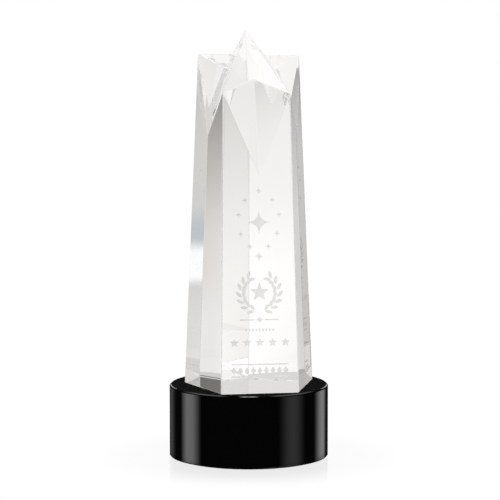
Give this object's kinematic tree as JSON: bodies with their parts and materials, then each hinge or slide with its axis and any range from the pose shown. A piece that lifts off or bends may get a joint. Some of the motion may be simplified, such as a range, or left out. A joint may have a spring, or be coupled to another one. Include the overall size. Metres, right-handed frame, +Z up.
{
  "type": "crystal star award",
  "caption": "Tapered pentagonal tower of clear optical crystal with a slanted five-pointed star top, engraved on the front and bonded to a round black crystal base.",
  "frame": {"origin": "centre of the round resting face, on the underside of the felt", "axes": "+Z up along the axis of the round base; the engraved front of the tower faces -Y; +X is to the right as seen from the front"},
  "size_m": [0.076, 0.076, 0.2036],
  "materials": {
    "optical_crystal": "polished optical crystal, with a fine sand-blasted engraving on the front face",
    "black_crystal": "polished opaque black crystal",
    "cured_adhesive": "clear cured adhesive",
    "black_felt": "pressed wool felt, matt"
  },
  "bodies": {
    "root": {"crystal_tower": "optical_crystal", "black_base": "black_crystal", "adhesive_film": "cured_adhesive", "felt_pad": "black_felt"}
  },
  "joints": []
}
